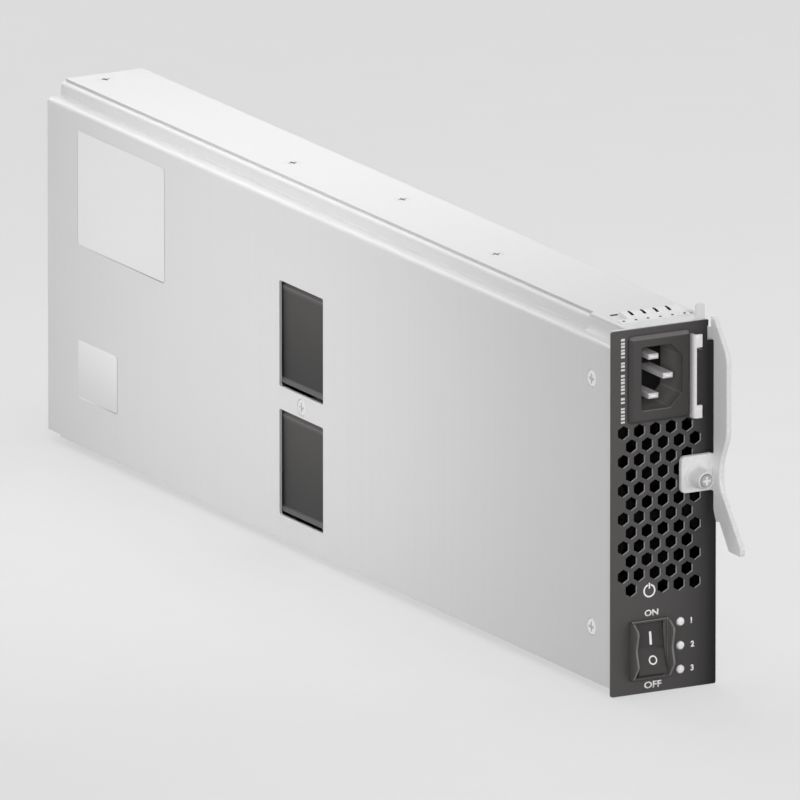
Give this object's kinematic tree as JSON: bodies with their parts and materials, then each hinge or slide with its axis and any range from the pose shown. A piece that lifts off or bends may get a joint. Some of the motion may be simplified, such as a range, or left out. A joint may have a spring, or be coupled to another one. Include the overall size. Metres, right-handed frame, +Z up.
{
  "type": "switch power module",
  "caption": "Slim plug-in power supply: folded sheet case with a rail step, dark perforated face plate, mains inlet, guarded rocker switch, status lights and ejector lever.",
  "frame": {"origin": "under the middle of the whole module, level with the face plate's bottom edge", "axes": "+Y from the face plate to the rear, +X to the right seen from the front, +Z up"},
  "size_m": [0.0414, 0.4375, 0.136],
  "materials": {
    "sheet_steel": "zinc coated sheet, light grey",
    "dark_paint": "dark grey powder paint",
    "spring_metal": "bright spring strip",
    "black_moulding": "black moulded plastic",
    "black_gloss": "glossy charcoal plastic",
    "contact_metal": "plated contact metal",
    "lever_metal": "satin light metal",
    "screw_metal": "plated steel",
    "lens": "milky light pipe",
    "label": "blank label stock",
    "board": "solder mask",
    "capacitor": "sleeved can",
    "film_capacitor": "moulded box",
    "winding": "enamelled wire",
    "heatsink": "extruded"
  },
  "bodies": {
    "module": {"side_cover": "sheet_steel", "chassis_tray": "sheet_steel", "front_frame": "sheet_steel", "face_plate": "dark_paint", "rear_panel": "sheet_steel", "emi_finger_strip": "spring_metal", "inlet_housing": "black_moulding", "inlet_line_blade": "contact_metal", "inlet_neutral_blade": "contact_metal", "inlet_earth_blade": "contact_metal", "cord_retainer_bracket": "lever_metal", "switch_housing": "black_moulding", "switch_terminals": "contact_metal", "upper_light_pipe": "lens", "middle_light_pipe": "lens", "lower_light_pipe": "lens", "indicator_board": "board", "lever_pivot_pin": "screw_metal", "lower_fan_frame": "black_moulding", "upper_fan_frame": "black_moulding", "top_screws": "screw_metal", "side_screws": "screw_metal", "large_label": "label", "small_label": "label", "main_board": "board", "board_standoffs": "screw_metal", "cover_post": "screw_metal", "main_transformer": "black_gloss", "pfc_choke": "black_gloss", "filter_choke": "winding", "filter_capacitors": "film_capacitor", "bulk_capacitors": "capacitor", "output_capacitors": "capacitor", "primary_heatsink": "heatsink", "secondary_heatsink": "heatsink", "output_connector": "black_moulding", "output_contacts": "contact_metal"},
    "ejector_lever": {"ejector_lever": "lever_metal", "screw_ferrule": "lever_metal"},
    "screw_collar": {"screw_collar": "screw_metal"},
    "captive_screw": {"captive_screw": "screw_metal"},
    "switch_rocker": {"switch_rocker": "black_gloss"},
    "lower_fan_rotor": {"lower_fan_rotor": "black_moulding"},
    "upper_fan_rotor": {"upper_fan_rotor": "black_moulding"}
  },
  "joints": [
    {"name": "lever_pivot", "type": "hinge", "parent": "module", "child": "ejector_lever", "pos_m": [0.01895, -0.1898, 0.1237], "axis": [-1, 0, 0], "range_deg": [0, 72]},
    {"name": "captive_screw_backout", "type": "slide", "parent": "ejector_lever", "child": "screw_collar", "axis": [0, -1, 0], "range_m": [0, 0.002]},
    {"name": "captive_screw_turn", "type": "hinge", "parent": "screw_collar", "child": "captive_screw", "pos_m": [0.0114, -0.1998, 0.0755], "axis": [0, -1, 0], "continuous": true},
    {"name": "rocker_tilt", "type": "hinge", "parent": "module", "child": "switch_rocker", "pos_m": [-0.00605, -0.196, 0.01578], "axis": [1, 0, 0], "range_deg": [0, 24]},
    {"name": "lower_fan_spin", "type": "hinge", "parent": "module", "child": "lower_fan_rotor", "pos_m": [0.00065, -0.1808, 0.0445], "axis": [0, 1, 0], "continuous": true},
    {"name": "upper_fan_spin", "type": "hinge", "parent": "module", "child": "upper_fan_rotor", "pos_m": [0.00065, -0.1808, 0.0805], "axis": [0, 1, 0], "continuous": true}
  ]
}
